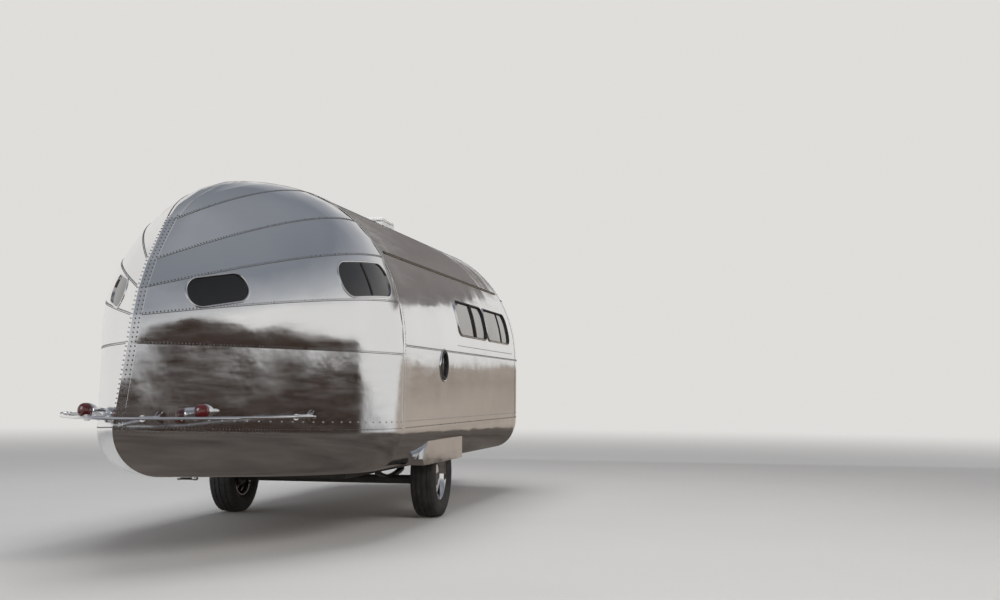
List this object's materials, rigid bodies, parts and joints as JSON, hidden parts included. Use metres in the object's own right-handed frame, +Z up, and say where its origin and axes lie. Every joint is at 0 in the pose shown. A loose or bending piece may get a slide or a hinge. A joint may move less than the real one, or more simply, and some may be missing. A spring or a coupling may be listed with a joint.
{
  "type": "travel caravan",
  "caption": "Streamlined travel caravan: riveted polished aluminium body with a pointed boat tail, wrap-round sides, door in the nose, one axle, bumper, roof vent and tongue with jack.",
  "frame": {"origin": "on the ground under the middle of the overall length and width", "axes": "+X forward to the tow coupler, +Y to the left side, +Z up"},
  "size_m": [8.445, 2.038, 2.563],
  "materials": {
    "polished_aluminium": "mirror-polished sheet with rivet rows",
    "chrome": "bright plated",
    "tyre_rubber": "matte black rubber",
    "frame_paint": "black chassis paint",
    "tinted_glass": "dark tinted, glossy",
    "red_lens": "dark red lamp lens",
    "deck_wood": "plain boards, satin",
    "vent_white": "off-white moulding",
    "dark_trim": "dark bronze drip rail",
    "zinc_plate": "zinc plated"
  },
  "bodies": {
    "caravan": {"awning_rail_left": "dark_trim", "awning_rail_right": "dark_trim", "axle": "frame_paint", "bumper": "chrome", "chassis_frame": "frame_paint", "floor_deck": "deck_wood", "lamp_housing_left": "chrome", "lamp_housing_right": "chrome", "lamp_lens_left": "red_lens", "lamp_lens_right": "red_lens", "lower_hull": "polished_aluminium", "main_shell": "polished_aluminium", "nose_shell": "polished_aluminium", "porthole_round_left": "tinted_glass", "porthole_round_right": "tinted_glass", "porthole_tail_left": "tinted_glass", "porthole_tail_right": "tinted_glass", "rib_band": "polished_aluminium", "spine_band": "polished_aluminium", "tail_shell_left": "polished_aluminium", "tail_shell_right": "polished_aluminium", "tongue_jack": "zinc_plate", "tow_coupler": "zinc_plate", "vent_frame": "vent_white", "wheel_fairing_left": "polished_aluminium", "wheel_fairing_right": "polished_aluminium", "window_nose_left": "tinted_glass", "window_nose_right": "tinted_glass", "window_side_front_left": "tinted_glass", "window_side_front_right": "tinted_glass", "window_side_rear_left": "tinted_glass", "window_side_rear_right": "tinted_glass", "window_slider_left": "tinted_glass", "window_slider_right": "tinted_glass"},
    "wheel_left": {"tyre_left": "tyre_rubber", "rim_left": "chrome", "drum_left": "frame_paint"},
    "wheel_right": {"tyre_right": "tyre_rubber", "rim_right": "chrome", "drum_right": "frame_paint"},
    "door": {"entry_door": "polished_aluminium", "door_window": "tinted_glass", "door_handle": "chrome"},
    "roof_lid": {"vent_lid": "vent_white"}
  },
  "joints": [
    {"name": "wheel_left_spin", "type": "hinge", "parent": "caravan", "child": "wheel_left", "pos_m": [-0.2575, 0.85, 0.344], "axis": [0, 1, 0], "continuous": true},
    {"name": "wheel_right_spin", "type": "hinge", "parent": "caravan", "child": "wheel_right", "pos_m": [-0.2575, -0.85, 0.344], "axis": [0, 1, 0], "continuous": true},
    {"name": "door_hinge", "type": "hinge", "parent": "caravan", "child": "door", "pos_m": [3.35308, 0.31, 1.3775], "axis": [0, 0, 1], "range_deg": [0, 100]},
    {"name": "roof_lid_hinge", "type": "hinge", "parent": "caravan", "child": "roof_lid", "pos_m": [0.8545, 0, 2.539], "axis": [0, 1, 0], "range_deg": [0, 60]}
  ]
}
